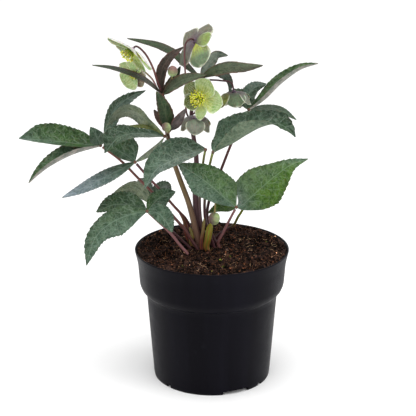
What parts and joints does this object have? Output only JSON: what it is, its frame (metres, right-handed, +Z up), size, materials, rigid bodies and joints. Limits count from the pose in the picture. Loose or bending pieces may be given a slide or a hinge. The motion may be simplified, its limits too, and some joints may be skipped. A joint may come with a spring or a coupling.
{
  "type": "potted hellebore",
  "caption": "Flowering hellebore with toothed, palm-like leaves and cup-shaped green flowers, in a round plastic nursery pot filled with dark soil.",
  "frame": {"origin": "centre of the flat disc under the pot, level with the pot's foot", "axes": "+Z up along the pot's axis; the plant's front, with the open flower, faces -Y; +X is to the right as seen from the front"},
  "size_m": [0.3602, 0.1992, 0.441],
  "materials": {
    "pot": "satin black",
    "soil": "coarse, fibrous, matt",
    "leaf": "satin, net-veined, toothed",
    "bract": "satin, purple-green",
    "stem": "satin, olive and purple-brown",
    "stalk": "satin, dark red-brown",
    "sheath": "satin, yellow-green",
    "sepal": "satin, light green with purple-brown veins and edges",
    "stamen": "matt yellow",
    "bud": "satin, light green with a purple flush"
  },
  "bodies": {
    "root": {"pot": "pot", "soil": "soil", "leaf_left_high": "leaf", "leaf_left_low": "leaf", "leaf_left_stem": "leaf", "leaf_low": "leaf", "leaf_low_back": "leaf", "leaf_middle": "leaf", "leaf_right_middle": "leaf", "leaf_right_high": "leaf", "leaf_right_low": "leaf", "bracts_left": "bract", "bracts_top": "bract", "bracts_middle": "bract", "stem_left": "stem", "stem_right": "stem", "stalk_left_high": "stalk", "stalk_left_low": "stalk", "stalk_low": "stalk", "stalk_low_back": "stalk", "stalk_right_middle": "stalk", "stalk_right_high": "stalk", "stalk_right_low": "stalk", "stalk_right_second": "stalk", "pedicel_top": "stalk", "pedicel_front": "stalk", "pedicel_right_back": "stalk", "pedicel_middle": "stalk", "pedicel_left": "stalk", "pedicel_left_back": "stalk", "stalk_left_stem": "stalk", "stalk_middle": "stalk", "stalk_bracts": "stalk", "sheath_right": "sheath", "sheath_middle": "sheath", "sheath_left": "sheath", "sheath_brown": "sheath", "flower_front_sepals": "sepal", "flower_top_sepals": "sepal", "flower_left_sepals": "sepal", "flower_left_back_sepals": "sepal", "flower_right_back_sepals": "sepal", "flower_middle_sepals": "sepal", "flower_front_stamens": "stamen", "flower_top_stamens": "stamen", "flower_left_stamens": "stamen", "flower_left_back_stamens": "stamen", "flower_right_back_stamens": "stamen", "flower_middle_stamens": "stamen", "bud_middle": "bud", "bud_left": "bud", "bud_low": "bud"}
  },
  "joints": []
}
